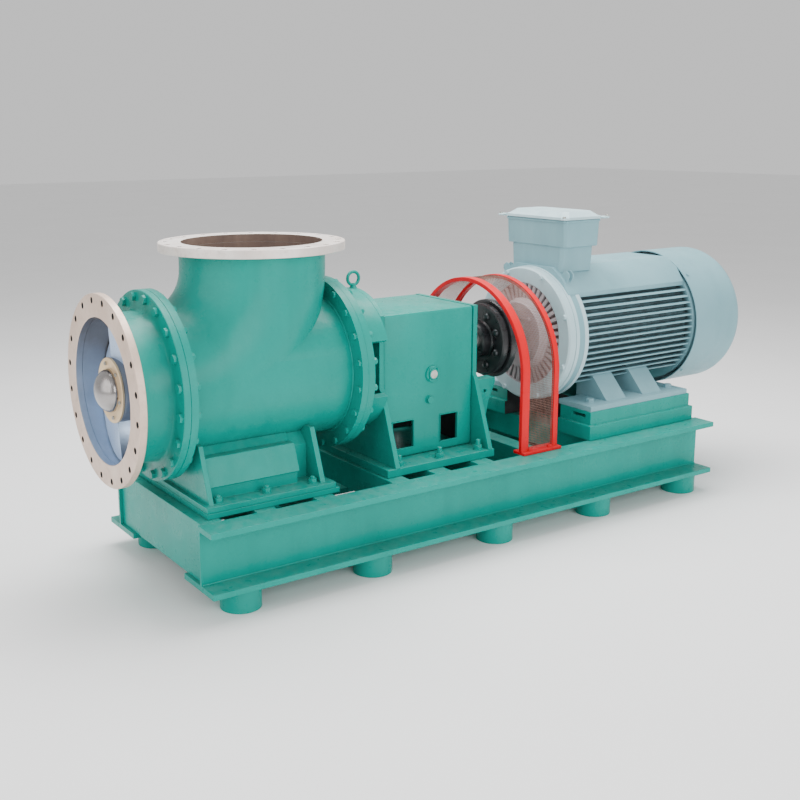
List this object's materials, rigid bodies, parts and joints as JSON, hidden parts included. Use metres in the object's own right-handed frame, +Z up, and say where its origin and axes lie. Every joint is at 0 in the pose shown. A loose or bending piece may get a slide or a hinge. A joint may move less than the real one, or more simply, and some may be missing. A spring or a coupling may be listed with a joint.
{
  "type": "forced circulation pump",
  "caption": "Axial flow elbow pump with a side inlet and a top outlet, bearing housing, guarded pin coupling and electric motor on a welded base with round feet",
  "frame": {"origin": "On the floor, under the middle of the machine's overall box", "axes": "+X along the shaft from the suction flange to the motor, +Z up, +Y to the far side of the picture"},
  "size_m": [2.895, 0.876, 1.205],
  "materials": {
    "green_paint": "semi-gloss green enamel",
    "bare_steel": "turned bare stainless steel",
    "motor_paint": "satin grey-blue motor paint",
    "black_paint": "black painted iron",
    "red_paint": "semi-gloss red paint",
    "mesh_wire": "woven wire",
    "impeller_metal": "bare cast and ground blades",
    "breather_brass": "dull brass"
  },
  "bodies": {
    "machine": {"suction_spool": "green_paint", "casing": "green_paint", "pump_foot": "green_paint", "pump_sole_plate": "green_paint", "rear_cover": "green_paint", "lantern": "green_paint", "bearing_housing": "green_paint", "housing_base_plate": "green_paint", "housing_front_plate": "green_paint", "housing_rear_plate": "green_paint", "bearing_cover": "green_paint", "sight_glass": "green_paint", "lifting_eye": "green_paint", "motor_pedestal": "green_paint", "girder_near": "green_paint", "girder_far": "green_paint", "end_channel_front": "green_paint", "end_channel_rear": "green_paint", "cross_member_1": "green_paint", "cross_member_2": "green_paint", "cross_member_3": "green_paint", "cross_member_4": "green_paint", "cross_member_5": "green_paint", "cross_member_6": "green_paint", "cross_member_7": "green_paint", "cross_member_8": "green_paint", "suction_flange": "bare_steel", "discharge_flange": "bare_steel", "motor_frame": "motor_paint", "motor_front_shield": "motor_paint", "fan_cowl": "motor_paint", "terminal_box": "motor_paint", "terminal_lid": "motor_paint", "guard_front_arch": "red_paint", "guard_rear_arch": "red_paint", "guard_near_rail": "red_paint", "guard_far_rail": "red_paint", "guard_mesh": "mesh_wire", "breather": "breather_brass"},
    "rotor": {"hub_cap": "bare_steel", "impeller": "impeller_metal", "pump_shaft": "bare_steel", "motor_shaft": "bare_steel", "coupling_pump_half": "black_paint", "coupling_motor_half": "black_paint"}
  },
  "joints": [
    {"name": "shaft_turn", "type": "hinge", "parent": "machine", "child": "rotor", "pos_m": [0, 0, 0.7], "axis": [1, 0, 0], "continuous": true}
  ]
}
